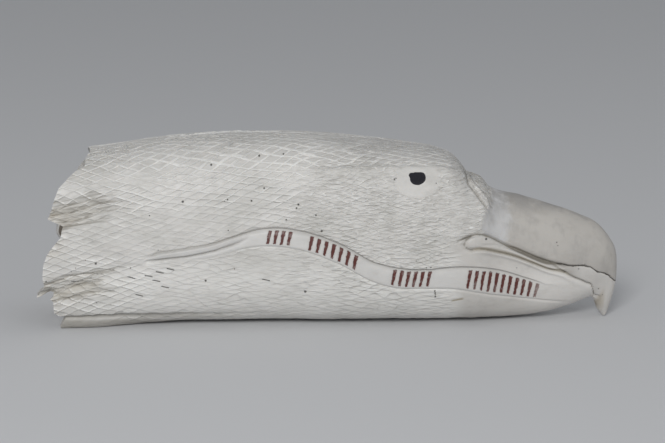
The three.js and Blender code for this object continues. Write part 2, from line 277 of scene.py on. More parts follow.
station_columns = [curve(STATIONS, column) for column in range(1, 8)]
groove_line = curve(GROOVE_LINE)
ribbon_low = curve(RIBBON_LOW)
ribbon_top = curve(RIBBON_TOP)
mouth_line = curve(MOUTH_LINE)
crack_line = curve(CRACK_LINE)
lip_line = curve(LIP_LINE)
brow_line = curve(BROW_LINE)
plumage_end = curve(PLUMAGE_END)
root_edge_near = broken_line(ROOT_EDGE_NEAR)
root_edge_far = broken_line(ROOT_EDGE_FAR)


# ---- the smooth form ----
class Section:
    """The cross-sections at an array of places along the tooth."""

    def __init__(self, place):
        crown_x, crown_z, throat_x, throat_z, half_width, square_top, square_low = (
            read(place) for read in station_columns
        )
        self.half_height = np.hypot(crown_x - throat_x, crown_z - throat_z) / 2
        self.x = (crown_x + throat_x) / 2
        self.z = (crown_z + throat_z) / 2
        self.up_x = (crown_x - throat_x) / (2 * self.half_height)
        self.up_z = (crown_z - throat_z) / (2 * self.half_height)
        self.throat_z = throat_z
        self.height = crown_z - throat_z
        self.half_width = half_width
        self.square_top = square_top
        self.square_low = square_low

    def angle_at(self, share):
        """The angle at which the outline reaches a share of the height; 0 is the near side."""
        level = np.clip(2 * share - 1, -0.9999, 0.9999)
        square = np.where(level > 0, self.square_top, self.square_low)
        side = self.half_width * (1 - np.abs(level) ** square) ** (1 / square)
        return np.arctan2(self.half_height * level, side)

    def point(self, angle, lift=0.0):
        across = np.cos(angle)
        up = np.sin(angle)
        square = np.where(up > 0, self.square_top, self.square_low)
        spread = np.abs(across / self.half_width) ** square + np.abs(up / self.half_height) ** square
        reach = spread ** (-1 / square) + lift
        rise = reach * up
        return np.stack([self.x + self.up_x * rise, -reach * across, self.z + self.up_z * rise], -1)


# ---- rows round the tooth ----
# The rows of the near side run along the carved lines. Each stretch lies between two of them, and the far
# side, which is plainer, has a third as many rows.
NEAR_STRETCHES = [9, 42, 3, 18, 3, 56, 46]
CROWN_ROWS = 60
BASE_ROWS = 16
FAR_STEP = 3


def key_shares(place):
    """The carved lines' heights as shares of the section, from the base's edge to the brow."""
    at = np.minimum(place, UPRIGHT_END)
    flat = Section(at)
    low = ribbon_low(at)
    top = ribbon_top(at)
    heights = [
        np.zeros_like(low), groove_line(at), low - RIBBON_STEP, low + RIBBON_STEP,
        top - RIBBON_STEP, top + RIBBON_STEP, mouth_line(at), brow_line(at),
    ]
    shares = [(height - flat.throat_z) / flat.height for height in heights]
    shares[0] = np.maximum(shares[0], 0.004)
    return shares


def row_plan():
    """For each row: which part of the ring it is on, which stretch, and how far along it."""
    near = [(0, k, i / count) for k, count in enumerate(NEAR_STRETCHES) for i in range(count)]
    near.append((0, len(NEAR_STRETCHES) - 1, 1.0))
    crown = [(1, 0, (i + 1) / (CROWN_ROWS + 1)) for i in range(CROWN_ROWS)]
    far = [(2, k, f) for part, k, f in reversed(near[::FAR_STEP])]
    base = [(3, 0, (i + 1) / (BASE_ROWS + 1)) for i in range(BASE_ROWS)]
    return np.array(near + crown + far + base)


ROWS = row_plan()
ROW_COUNT = len(ROWS)
NEAR_COUNT = sum(NEAR_STRETCHES) + 1


def row_angles(place, cut):
    """Angles for an array of places whose last axis is the rows."""
    part = ROWS[:, 0]
    stretch = ROWS[:, 1].astype(int)
    share = ROWS[:, 2]
    keys = np.stack(key_shares(place))
    columns = np.arange(ROW_COUNT)
    low = keys[stretch, ..., columns].T
    high = keys[stretch + 1, ..., columns].T
    side = cut.angle_at(mix(low, high, share))
    brow = cut.angle_at(keys[-1])
    base = cut.angle_at(keys[0])
    crown = mix(brow, math.pi - brow, share)
    under = mix(math.pi - base, 2 * math.pi + base, share)
    return np.select([part == 0, part == 1, part == 2], [side, crown, math.pi - side], under)


def root_edge():
    """Where each row ends at the root."""
    place = np.full((1, ROW_COUNT), float(ROOT_MIDDLE))
    for turn in range(EDGE_TURNS):
        cut = Section(place)
        smooth = cut.point(row_angles(place, cut))
        near_share = ramp(-smooth[..., 1], -6, 6)
        place = mix(root_edge_far(smooth[..., 2]), root_edge_near(smooth[..., 2]), near_share)
    return place[0]


def all_places(edge):
    """The places of every ring, from the root's edge to the hook's tip."""
    zone = np.linspace(0, 1, EDGE_SECTIONS, endpoint=False)[:, None]
    leaning = mix(edge[None, :], EDGE_ZONE_END, zone)
    neck = np.linspace(EDGE_ZONE_END, FACE_START, NECK_SECTIONS, endpoint=False)
    face = np.linspace(FACE_START, HOOK_END, FACE_SECTIONS)
    upright = np.concatenate([neck, face])[:, None] + np.zeros((1, ROW_COUNT))
    return np.concatenate([leaning, upright])


def near_heights(points, angle):
    """A height for every point: z on the side, going on as a length over the rounded crown."""
    half = NEAR_COUNT + CROWN_ROWS // 2
    brow_row = NEAR_COUNT - 1
    steps = np.linalg.norm(np.diff(points[:, brow_row:half], axis=1), axis=-1)
    beyond = points[:, brow_row, 2][:, None] + np.cumsum(steps, axis=1)
    heights = np.concatenate([points[:, :NEAR_COUNT, 2], beyond], axis=1)
    folded = np.where(angle > 1.5 * math.pi, angle - 2 * math.pi, angle)
    folded = np.where(folded > 0.5 * math.pi, math.pi - folded, folded)
    rings = [np.interp(folded[i], angle[i, :half], heights[i]) for i in range(len(points))]
    return np.array(rings)


# ---- the larger carving, as on the solid ----
def flute(x, z, start, end, depth, half_width):
    """A groove that opens towards the root."""
    along = np.clip((x - start[0]) / (end[0] - start[0]), 0, 1)
    middle = mix(start[1], end[1], along)
    return depth * (1 - ramp(along, 0.35, 1)) * hump(z - middle, half_width)


def dish(x, z, place, half_length, half_height, depth):
    return depth * hump(np.hypot((x - place[0]) / half_length, (z - place[1]) / half_height), 1)


def between(x, start, end, fade):
    """1 from start to end, with soft ends of this length inside them."""
    return ramp(x, start, start + fade) * (1 - ramp(x, end - fade, end))


def in_ribbon(x, z):
    """1 on the ribbon, which starts as a narrow roll at the neck and runs into the lower jaw."""
    above = ramp(z, ribbon_low(x) - RIBBON_STEP, ribbon_low(x) + RIBBON_STEP)
    below = 1 - ramp(z, ribbon_top(x) - RIBBON_STEP, ribbon_top(x) + RIBBON_STEP)
    return above * below * between(x, RIBBON_START, RIBBON_END, 10)


def ribbon_share(x, z):
    return (z - ribbon_low(x)) / (ribbon_top(x) - ribbon_low(x))


def roll_carving(x, z):
    """The rolled end of the ribbon at the neck, swelling above a cut."""
    roll_gap = path_gap(x, z, ROLL_CUT)
    over_cut = ramp(roll_gap, 0.0, 0.6) * (1 - ramp(z, ribbon_top(x) - 0.5, ribbon_top(x)))
    above_cut = ramp(z, mix(ribbon_low(x), ribbon_top(x), ramp(x, -40, -20) * 0.5), ribbon_top(x))
    roll = ROLL_HEIGHT * over_cut * np.sqrt(above_cut) * between(x, -48, ROLL_END, 5) * in_ribbon(x, z)
    return roll - ROLL_CUT_DEPTH * hump(roll_gap, 0.35) * between(x, -52, ROLL_END, 6)


def ribbon_carving(x, z):
    """The ribbon lies under the plumage above it, slopes out from there, and ends in a fine groove."""
    share = np.clip(ribbon_share(x, z), 0, 1)
    over = z - ribbon_top(x)
    flat_part = ramp(x, FLAT_RIBBON_START, FLAT_RIBBON_FULL)
    slope = in_ribbon(x, z) * mix(RIBBON_LOW_LIFT, -RIBBON_TOP_INSET, share) * ramp(x, -36, -20)
    low_groove = LOW_GROOVE_DEPTH * hump(z - ribbon_low(x), 0.3) * flat_part * (1 - ramp(x, GROOVE_END, 69))
    top_depth = mix(NECK_GROOVE_DEPTH, TOP_GROOVE_DEPTH, flat_part)
    top_groove = top_depth * between(x, -49, GROOVE_END, 4) * hump(over + 0.15, 0.28)
    under = between(x, FLAT_RIBBON_START, GROOVE_END, 6) * hump(over + 0.5, 0.6)
    undercut = UNDERCUT_DEPTH * flat_part * under
    swelling = SWELLING * between(x, -30, 40, 6) * ramp(over, 0, 0.4) * (1 - ramp(over, 0.8, 4))
    return slope + roll_carving(x, z) - low_groove - top_groove - undercut + swelling


def brow_carving(x, z):
    along = between(x, BROW_START, BROW_END, 5) * ramp(x, BROW_START, BROW_START + 14)
    below = brow_line(x) - z
    shelf = BROW_SHELF * hump(below - 1.3, 1.5)
    inset = CROWN_INSET * ramp(-below, -0.15, 0.3) * (1 - ramp(-below, 1.5, 6))
    return along * (shelf - inset)


def tuft_carving(x, z):
    """The small feathers in front of the forehead lie behind a groove and a bright ridge."""
    groove = path_gap(x, z, TUFT_GROOVE)
    ridge = path_gap(x, z, TUFT_RIDGE)
    zone = ramp(x, 37.6, 38.6) * (1 - ramp(x, 44.3, 45.2)) * ramp(x + z, 77.6, 78.6)
    tangle = noise(3 * (x + z), x - z, 2.0, 21) + 0.7 * noise(2 * x, 3 * z, 1.2, 22)
    return 0.4 * hump(ridge, 0.4) - 0.8 * hump(groove, 0.34) + zone * (0.32 * tangle - 0.35)


def arch(share):
    """0 at both ends of a share and 1 in its middle."""
    return 4 * share * (1 - share)


def mouth_carving(x, z):
    over_mouth = z - mouth_line(x)
    over_lip = z - lip_line(x)
    widest = hump(x - MOUTH_MIDDLE, MOUTH_HALF_LENGTH)
    depth = MOUTH_DEPTH + MOUTH_EXTRA_DEPTH * widest
    mouth = depth * between(x, 34.2, 67, 3) * hump(over_mouth + 0.15, 0.45 + 0.4 * widest)
    lip_cut = LIP_DEPTH * between(x, 38.5, 76, 2) * hump(over_lip, 0.42)
    cuts = sum(deep * hump(path_gap(x, z, path), wide) for path, deep, wide in FLANGE_CUTS)
    inside = np.clip(over_lip / np.maximum(mouth_line(x) - lip_line(x), 0.5), 0, 1)
    flange = FLANGE_SWELLING * np.sqrt(arch(inside)) * between(x, 37.3, 64, 2.5)
    jaw = np.clip((z - ribbon_top(x)) / np.maximum(lip_line(x) - ribbon_top(x), 0.5), 0, 1)
    valley = JAW_VALLEY * arch(jaw) * between(x, 38, 66, 8)
    rim = RIM_HEIGHT * hump(over_lip + 0.95, 0.5) * between(x, 39, 70, 5)
    return flange + rim - mouth - lip_cut - cuts - valley


def beak_carving(x, z):
    """The bare beak lies lower than the plumage, and its horn stands a little over the cere."""
    bare = ramp(x, plumage_end(z) - 0.1, plumage_end(z) + 0.5) * (1 - ramp(x, 52, 64))
    horn = HORN_STEP * ramp(x, 49.0, 49.8) * (1 - ramp(x, 52, 60))
    return ramp(z, mouth_line(x) + 0.3, mouth_line(x) + 1.2) * (horn - BEAK_INSET * bare)


def crease_gap(x, z):
    return np.minimum.reduce([path_gap(x, z, crease) for crease in ROOT_CREASES])


def root_carving(x, z):
    """Deep folds between the feather tips at the root, and the strip along the base."""
    folds = sum(flute(x, z, *fold) for fold in ROOT_FOLDS)
    creases = CREASE_DEPTH * np.exp(-crease_gap(x, z) / 0.8) * (1 - ramp(x, -68, -48))
    strip = STRIP_GROOVE_DEPTH * (1 - ramp(x, -52, 0)) * hump(z - groove_line(x), 0.42)
    lobes = LOBE_HEIGHT * (hump(z - 39, 3) + hump(z - 20, 4.5) + hump(z - 6, 2)) * (1 - ramp(x, -76, -58))
    return lobes - folds - creases - strip


def large_carving(x, z):
    lift = ribbon_carving(x, z) + brow_carving(x, z) + mouth_carving(x, z) + beak_carving(x, z)
    return lift + root_carving(x, z) - dish(x, z, *EYE_HOLLOW) - dish(x, z, *CHEEK_HOLLOW)


# ---- the plumage ----
FAR_FEATHERS = 1.35
CROWN_LEVEL = 45
CROWN_SPREAD = 0.3

# For each size of feather: the depth of its cuts and the widths of the two halves of its raised edge.
FEATHER_SHAPES = {
    "long_feathers": (0.26, 0.16, 0.12),
    "short_feathers": (0.24, 0.3, 0.25),
    "fine_feathers": (0.13, 0.3, 0.25),
}

# The least strength that a long, a short and a fine feather is cut with.
FAINTEST_CUTS = (0.35, 0.3, 0.45)


def cell_numbers(x, up, length, height, lean, wander, seed):
    """Running numbers of two families of slanted cuts, which cross in uneven lozenges of about this size."""
    rise = (up - lean * x) / height
    u = x / length
    first = wander * (noise(u, rise, 1.3, seed) + 0.3 * noise(u, rise, 0.5, seed + 1))
    second = wander * (noise(u, rise, 1.3, seed + 2) + 0.3 * noise(u, rise, 0.5, seed + 3))
    return rise + u + first, rise - u + second


def lip(number, width, step):
    """A feather's raised lower edge: it rises towards the edge and drops there to the feather under it."""
    part = number - np.floor(number)
    return np.exp(-part / width) * ramp(part, 0, step)


def feather_relief(cells, depth, width, step):
    first, second, weight = cells
    raised = np.maximum(lip(first, width, step), lip(second, width, step))
    return depth * weight * (1.7 * raised - 1)


def hand_cut(first, second, least):
    """A random strength for each feather, from least to 1.3."""
    mixed = np.sin(np.floor(first) * 12.9898 + np.floor(second) * 78.233) * 43758.5453
    return mix(least, 1.3, mixed - np.floor(mixed))


def flange_gap(x, z):
    """Distance from the cuts round the two ends of the fleshy edge of the mouth."""
    return np.minimum(path_gap(x, z, FLANGE_TIP), path_gap(x, z, FLANGE_END))


def almond_share(x, z):
    """1 on the smooth almond of skin round the eye."""
    return 1 - ramp(np.hypot((x - 24.5) / 6.0, (z - 41.3) / 4.2), 0.9, 1.05)


def feather_cells(x, up, near, below):
    """The running numbers of the three sizes of feather, which are larger on the far side."""
    coarse = np.where(near, 1.0, FAR_FEATHERS)
    over_head = CROWN_SPREAD * np.clip(up - CROWN_LEVEL, 0, None)
    turned = up - over_head - 0.14 * np.clip(x + 44, 0, 36)
    short_length = np.where(below > 0.5, 6.0, 3.9) * coarse
    short_height = np.where(below > 0.5, 1.7, 1.15) * coarse
    fine_lean = np.where(up > 30, 0.09, 0.0)
    return {
        "long_feathers": cell_numbers(x, turned, 5.5 * coarse, 1.9 * coarse, 0.085, 0.2, 31),
        "short_feathers": cell_numbers(x, up, short_length, short_height, 0.01, 0.55, 41),
        "fine_feathers": cell_numbers(x, up - over_head, 5.4 * coarse, 1.3 * coarse, fine_lean, 0.3, 51),
    }


def feather_places(x, z, up, below):
    """How strongly each size of feather is cut: long on the neck, short on the cheek, fine on the crown."""
    edge_wander = noise(x, up, 7, 3) + 0.5 * noise(x, up, 3, 4)
    wavy_x = x + 7 * edge_wander
    base_band = (1 - ramp(z, 3.5, 6)) * ramp(x, -60, -50)
    over_brow = ramp(up, brow_line(x) - 0.3, brow_line(x) + 0.2)
    fine = np.maximum(over_brow * ramp(wavy_x, -16, 12), base_band)
    cheek = ramp(wavy_x, -20, 0) * (1 - below) * (1 - over_brow)
    short = np.maximum(cheek, below * ramp(x, -50, -42)) * (1 - fine)
    long = (1 - short) * (1 - fine) * ramp(z, 2.2, 3.4)
    worn = 1 - 0.65 * hump(np.hypot((x + 33) / 27, (up - 28) / 8.5), 1)
    faint = np.where(below > 0.5, 0.7, 1.0)

    bare = ramp(x, plumage_end(z) - 0.6, plumage_end(z) + 0.2)
    worn_off = below * ramp(x + 3 * edge_wander, 28, 38)
    cover = (1 - bare) * (1 - in_ribbon(x, z)) * (1 - almond_share(x, z)) * (1 - worn_off)
    brow_shelf = hump(brow_line(x) - z - 1.6, 1.3) * between(x, -6, 38, 8)
    uneven = (0.85 + 0.3 * noise(x, up, 6, 6)) * (1 - 0.55 * brow_shelf) * (1 + 0.6 * ramp(up, 43, 47))
    places = {"long_feathers": long * worn, "short_feathers": short * faint, "fine_feathers": fine}
    return {name: place * cover * uneven for name, place in places.items()}


def plumage(x, z, up, near, beside_parting):
    """For each size of feather, its two running numbers and how strongly it is cut."""
    below = ramp(ribbon_low(x) - z, -0.5, 0.5)
    cells = feather_cells(x, up, near, below)
    places = feather_places(x, z, up, below)
    marks = {}
    for name, least in zip(cells, FAINTEST_CUTS):
        weight = places[name] * hand_cut(*cells[name], least) * beside_parting
        marks[name] = (*cells[name], weight)
    return marks


# ---- the cuts ----
# Rows of slanted strokes on the ribbon, where the tooth carries an inscription: first and last x, and count.
STROKE_ROWS = [(-15.6, -8.4, 4), (-4.6, 9.0, 7), (17.4, 28.6, 6), (37.6, 58.2, 11)]
STROKE_LEAN = 1.1
STROKE_HALF_WIDTH = 0.4
STROKE_LOW = 0.14
STROKE_HIGH = 0.84

# Depths of the single cuts, and how far the whole surface stays inside the solid's.
STROKE_DEPTH = 0.14
ALMOND_DEPTH = 0.3
EYE_DEPTH = 0.25
CRACK_DEPTH = 0.35
CLEARANCE = 0.2

# Natural pits on the inscribed side: x, height, and what is taken off the usual radius.
PITS = [
    (-29.9, 45.6, -0.02), (-17.3, 47.8, 0), (-10.9, 48.1, 0.04), (-37.3, 36.1, -0.05),
    (-26.3, 36.3, 0.12), (-19.2, 36.4, 0), (-25.5, 36.7, 0.05), (-15.9, 39.8, 0.02), (-6.9, 35.5, -0.02),
    (-7.4, 34.5, 0), (-10.1, 31.3, 0.03), (-2.3, 32.6, 0.02), (-0.8, 28.2, -0.03), (-25.4, 28.4, 0.08),
    (-23.9, 17.7, 0.08), (-31.6, 14.4, -0.04), (-5.2, 11, -0.1), (-46.1, 32.3, 0.09), (-60.7, 19, -0.06),
    (-63.4, 20, 0.12), (-66.1, 17.8, 0.12), (-67.3, 16.6, 0.12), (-74.2, 13.7, 0), (-60.9, 7.6, 0.09),
    (-51.5, 17.7, 0.06), (43, 24.9, -0.06), (68.8, 15.1, 0.1), (-44, 22.9, 0.12), (18.8, 42.2, 0.12),
    (29.5, 40.9, 0.12), (62.6, 22.8, 0.1), (29.4, 10.8, 0.02), (29.5, 10.2, 0), (29.6, 9.6, 0.04),
    (29.6, 9, 0), (18.4, 42, 0.05), (62.9, 21.9, 0.13), (70.5, 16.4, 0.14), (51.7, 16, 0.12),
    (76, 6.8, 0.13), (74.8, 8.5, 0.1), (27, 17.7, 0.1), (28.2, 17.8, 0.08), (24.3, 19.7, 0.13),
]

# Short nicks that slope down towards the beak: x and height.
NICKS = [
    (-43.7, 16.7), (-46.7, 15.6), (-44.7, 14.3), (-40.8, 17.6), (-42.4, 12.5), (-51.4, 15.0), (-49.4, 10),
    (-15.6, 14.6), (-66.5, 13.2),
]
NICK_HALF_LENGTH = 0.9
NICK_SLOPE = -0.2
PIT_CORE = 0.12
PIT_RADIUS = 0.32


def stroke_gap(x, share):
    """Distance from the middle of the nearest stroke, less its half width: below 0 inside a stroke."""
    leaning = x - STROKE_LEAN * (share - 0.5)
    gap = np.full(np.shape(x), 9.0)
    for start, end, count in STROKE_ROWS:
        pitch = (end - start) / count
        number = np.clip(np.floor((leaning - start) / pitch), 0, count - 1)
        middle = start + (number + 0.5) * pitch
        gap = np.minimum(gap, np.abs(leaning - middle) - STROKE_HALF_WIDTH)
    band = (np.maximum(STROKE_LOW - share, share - STROKE_HIGH)) * 5.5
    return np.maximum(gap, band)


def eye_gap(x, z):
    """How far outside the eye, in about its radius: an oval with a flat top and one sharp corner."""
    oval = np.hypot((x - 24.6) / 2.1, (z - 42.2) / 1.32) - 1
    corner = np.hypot((x - 22.9) / 0.75, (z - 42.8) / 0.45) - 1
    return np.maximum(np.minimum(oval * 1.8, corner * 0.6), z - 43.3)


def fine_carving(x, z, up, near, cells):
    lift = 0.16 * noise(x, up, 9, 8) + 0.05 * noise(x, up, 2.2, 9) - CLEARANCE
    for name, (depth, width, step) in FEATHER_SHAPES.items():
        lift = lift + feather_relief(cells[name], depth, width, step)
    almond = hump(path_gap(x, z, ALMOND_EDGE), 0.35)
    eye = near * (1 - ramp(eye_gap(x, z), -0.15, 0.1))
    strokes = near * in_ribbon(x, z) * (1 - ramp(stroke_gap(x, ribbon_share(x, z)), -0.2, 0.1))
    crack_gap = z - crack_line(x) - 0.2 * noise(x, z, 1.6, 12)
    crack = near * ramp(x, 61, 65) * hump(crack_gap, 0.22)
    return lift - ALMOND_DEPTH * almond - EYE_DEPTH * eye - STROKE_DEPTH * strokes - CRACK_DEPTH * crack


def bare_share(x, z):
    """1 on the beak, with a sharp edge above the mouth and a soft one at the throat."""
    soft = mix(4.0, 0.4, ramp(z - mouth_line(x), -2.0, 0.5))
    return ramp(x, plumage_end(z) - 0.3 * soft, plumage_end(z) + soft)


# ---- the whole mesh ----
def surface_marks(x, z, up, near, hook_inside, lift):
    """What the material needs to know at each point, three numbers to a mark."""
    return {
        "place_on_ribbon": (x, ribbon_share(x, z), in_ribbon(x, z) * near),
        "line_gaps": (z - mouth_line(x), z - lip_line(x), z - crack_line(x)),
        "heights": (z, up, near),
        "single_cuts": (eye_gap(x, z), path_gap(x, z, TUFT_GROOVE), flange_gap(x, z)),
        "body": (bare_share(x, z), hook_inside, lift),
        "creases": (crease_gap(x, z), path_gap(x, z, ROLL_CUT), almond_share(x, z)),
    }


def carved_surface():
    """The root's edge, the points of every ring outside, and their marks."""
    edge = root_edge()
    places = all_places(edge)
    cut = Section(places)
    angle = row_angles(places, cut)
    smooth = cut.point(angle)
    x, y, z = (smooth[..., axis] for axis in range(3))
    up = near_heights(smooth, angle)
    near = (y < 0).astype(float)
    beside_parting = np.where(z > 20, ramp(np.abs(y), 0.3, 1.3), 1.0)
    cells = plumage(x, z, up, near > 0.5, beside_parting)
    from_top = np.abs(np.cos(angle))
    lift = ramp(from_top, 0.05, 0.35) * large_carving(x, z) + ramp(from_top, 0.0, 0.12) * tuft_carving(x, z)
    points = cut.point(angle, lift + fine_carving(x, z, up, near, cells))
    points[..., 2] = np.maximum(points[..., 2], 0)
    hook_inside = ramp(-np.sin(angle), 0.1, 0.8) * ramp(places, 80, 84)
    return edge, points, {**cells, **surface_marks(x, z, up, near, hook_inside, lift)}


def cavity_rings(edge):
    """The pulp cavity's wall, from its pointed inner end out to its mouth."""
    rings = []
    for share in np.linspace(1, 0, CAVITY_SECTIONS + 1)[1:]:
        place = mix(edge + EDGE_BEVEL, CAVITY_END, share)[None, :]
        cut = Section(place)
        wall = cut.point(row_angles(place, cut))[0]
        narrowing = CAVITY_SHARE * (1 - share) ** CAVITY_TAPER
        wall[:, 0] = place[0]
        wall[:, 1] *= narrowing
        wall[:, 2] = mix(cut.z[0], np.maximum(wall[:, 2], 0), narrowing)
        rings.append(wall)
    return np.array(rings)


def ring_faces(ring_count, size):
    """Quads between neighbouring rings, and a fan of triangles over each end."""
    row = np.arange(size)
    after = (row + 1) % size
    start = (np.arange(ring_count - 1) * size)[:, None]
    quads = np.stack([start + row, start + size + row, start + size + after, start + after], -1)
    last = (ring_count - 1) * size
    first_fan = np.stack([np.full(size, ring_count * size), row, after], -1)
    last_fan = np.stack([np.full(size, ring_count * size + 1), last + after, last + row], -1)
    return quads.reshape(-1, 4).tolist() + first_fan.tolist() + last_fan.tolist()


def add_mark(mesh, name, columns, cavity_count):
    """A vector for every vertex: 0 in the cavity, and at the hook's end point as on its last ring."""
    values = np.stack([np.asarray(column, float) for column in columns], -1).reshape(-1, 3)
    padded = np.concatenate([np.zeros((cavity_count, 3)), values, np.zeros((1, 3)), values[-1:]])
    attribute = mesh.attributes.new(name, "FLOAT_VECTOR", "POINT")
    attribute.data.foreach_set("vector", padded.astype(np.float32).ravel())


def add_cavity_mark(mesh, inner_count, outer_count):
    """1 at the inner end of the cavity, less towards its mouth, and 0 outside."""
    depth = np.linspace(1, 0.25, inner_count)[:, None] + np.zeros((1, ROW_COUNT))
    depths = np.concatenate([depth.ravel(), np.zeros(outer_count * ROW_COUNT), [1.0, 0.0]])
    attribute = mesh.attributes.new("cavity_depth", "FLOAT", "POINT")
    attribute.data.foreach_set("value", depths.astype(np.float32))


def placed_points(rings, outer):
    """All the points in metres, within the solid's box, and their move there in millimetres."""
    low, high = (np.array(corner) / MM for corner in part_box(CAD_NODE))
    own_low = outer.reshape(-1, 3).min(0)
    own_high = outer.reshape(-1, 3).max(0)
    shift = (low + high - own_low - own_high) / 2
    shift[2] = 0
    ends = np.array([rings[0].mean(0), rings[-1].mean(0)])
    ends[0, 0] = CAVITY_END
    points = np.concatenate([rings.reshape(-1, 3), ends]) + shift
    return np.clip(points, low, high) * MM, shift


def build_tooth():
    edge, outer, marks = carved_surface()
    inner = cavity_rings(edge)
    rings = np.concatenate([inner, outer])
    points, shift = placed_points(rings, outer)
    mesh = bpy.data.meshes.new(CAD_NODE + "_carved")
    mesh.from_pydata(points.tolist(), [], ring_faces(len(rings), ROW_COUNT))
    for name, columns in marks.items():
        add_mark(mesh, name, columns, len(inner) * ROW_COUNT)
    add_cavity_mark(mesh, len(inner), len(outer))
    mesh.update()
    mesh.shade_smooth()
    mesh.set_sharp_from_angle(angle=SHARP_ANGLE)
    tooth = bpy.data.objects.new("carved_whale_tooth", mesh)
    bpy.context.scene.collection.objects.link(tooth)
    return tooth, shift


# ---- the material ----
class Graph:
    """Short names for the nodes of one tree."""

    def __init__(self, tree):
        self.tree = tree

    def node(self, kind, **settings):
        made = self.tree.nodes.new(kind)
        for name, value in settings.items():
            setattr(made, name, value)
        return made

    def feed(self, socket, value):
        if isinstance(value, bpy.types.NodeSocket):
            self.tree.links.new(value, socket)
        else:
            socket.default_value = value

    def feed_all(self, node, values):
        for name, value in values.items():
            self.feed(node.inputs[name], value)

    def math(self, operation, *values):
        made = self.node("ShaderNodeMath", operation=operation)
        for socket, value in zip(made.inputs, values):
            self.feed(socket, value)
        return made.outputs[0]

    def chain(self, operation, values):
        """The operation on the first two values, then on that result and the next value, and so on."""
        result = values[0]
        for value in values[1:]:
            result = self.math(operation, result, value)
        return result

    def add(self, *values):
        return self.chain("ADD", values)

    def times(self, *values):
        return self.chain("MULTIPLY", values)

    def largest(self, *values):
        return self.chain("MAXIMUM", values)

    def smallest(self, *values):
        return self.chain("MINIMUM", values)

    def less(self, value, taken):
        return self.math("SUBTRACT", value, taken)

    def size(self, value):
        return self.math("ABSOLUTE", value)

    def smooth(self, value, start, end, low=0, high=1):
        """A soft step from low to high while value goes from start to end."""
        made = self.node("ShaderNodeMapRange", interpolation_type="SMOOTHSTEP")
        for socket, given in zip(made.inputs[:5], (value, start, end, low, high)):
            self.feed(socket, given)
        return made.outputs[0]

    def fade(self, value, start, end, high=1):
        """A soft step down from high to 0 while value goes from start to end."""
        return self.smooth(value, start, end, high, 0)

    def stretch(self, value, start, end, soft):
        """1 from start to end, with soft ends of this length inside them."""
        return self.times(self.smooth(value, start, start + soft), self.fade(value, end - soft, end))

    def line(self, gap, half_width, soft):
        """1 within half_width of a line, fading over soft."""
        return self.fade(self.size(gap), half_width, half_width + soft)

    def point(self, *values):
        """A vector of two or three numbers."""
        made = self.node("ShaderNodeCombineXYZ")
        for socket, value in zip(made.inputs, values):
            self.feed(socket, value)
        return made.outputs[0]

    def mark(self, name):
        """The three numbers of one of the mesh's marks."""
        vector = self.node("ShaderNodeAttribute", attribute_name=name).outputs["Vector"]
        split = self.node("ShaderNodeSeparateXYZ")
        self.feed(split.inputs[0], vector)
        return split.outputs[0], split.outputs[1], split.outputs[2]

    def noise_at(self, place, scale, detail, roughness=0.5):
        made = self.node("ShaderNodeTexNoise")
        settings = {"Vector": place, "Scale": scale, "Detail": detail, "Roughness": roughness}
        self.feed_all(made, settings)
        return made.outputs["Fac"]

    def noise(self, scale, detail, roughness=0.55, stretch=(1, 1, 1)):
        place = self.node("ShaderNodeTexCoord").outputs["Object"]
        sized = self.node("ShaderNodeMapping")
        self.feed_all(sized, {"Vector": place, "Scale": stretch})
        return self.noise_at(sized.outputs[0], scale, detail, roughness)

    def paint(self, base, *layers):
        """The colour base under layers, each a shade and the shares whose product is how much it covers."""
        for shade, *shares in layers:
            made = self.node("ShaderNodeMix", data_type="RGBA")
            self.feed(made.inputs[0], self.times(*shares))
            self.feed(made.inputs[6], base)
            self.feed(made.inputs[7], shade)
            base = made.outputs[2]
        return base


def colour(red, green, blue):
    return (red, green, blue, 1)


IVORY = colour(0.63, 0.615, 0.588)
# Painted highlight: a lighter ivory for raised feather edges, pale fine cuts and the lower flank.
PAINTED_HIGHLIGHT_IVORY = colour(0.84, 0.83, 0.80)
IVORY_SHADE = colour(0.53, 0.52, 0.49)
# Painted shade for the top of the head, which faces away from the light.
CROWN_PAINTED_SHADE = colour(0.46, 0.45, 0.435)
RIBBON_IVORY = colour(0.62, 0.61, 0.595)
HORN = colour(0.475, 0.453, 0.42)
HORN_DARK = colour(0.27, 0.26, 0.25)
CERE = colour(0.565, 0.56, 0.555)
JAW = colour(0.56, 0.54, 0.51)
TIP_IVORY = colour(0.655, 0.635, 0.605)
# A dark colour used both for real grime and smudges and as painted shade in grooves, cuts and recesses.
DIRT_AND_SHADE = colour(0.22, 0.20, 0.165)
# Brown grime, real at the root's end and in the throat's streak; inside the hook it is also painted shade.
GRIME_AND_SHADE = colour(0.30, 0.25, 0.17)
TAN = colour(0.42, 0.37, 0.28)
INK = colour(0.10, 0.022, 0.016)
INK_STAIN = colour(0.46, 0.39, 0.36)
EYE_BLACK = colour(0.010, 0.010, 0.016)
PIT = colour(0.03, 0.026, 0.02)
CRACK = colour(0.085, 0.075, 0.065)
CAVITY = colour(0.20, 0.14, 0.08)

# The two halves of a feather's edge, as shares of its height.
BRIGHT_EDGE = 0.16
DARK_STEP = 0.11

# Each size of feather: its mark, how high its edges rise in the bump, and how dark its cuts are painted with
# grime and painted shade.
FEATHER_SIZES = [("long_feathers", 1.6, 0.6), ("short_feathers", 1.2, 1.1), ("fine_feathers", 1.5, 0.9)]

# The finest cuts, as noise: slope, length, height, and the two noise levels between which a cut appears.
DARK_DASHES = (0, 3.2, 0.62, 0.50, 0.64)
PALE_DASHES = (0.02, 3.4, 0.62, 0.54, 0.66)
RISING_CUTS = (0.36, 5, 0.7, 0.54, 0.68)
FALLING_CUTS = (-0.14, 4, 0.6, 0.55, 0.68)
TUFT_CUTS = (-1.1, 2.4, 0.8, 0.46, 0.6)
FOLD_CUTS = (0.17, 6, 0.6, 0.48, 0.6)


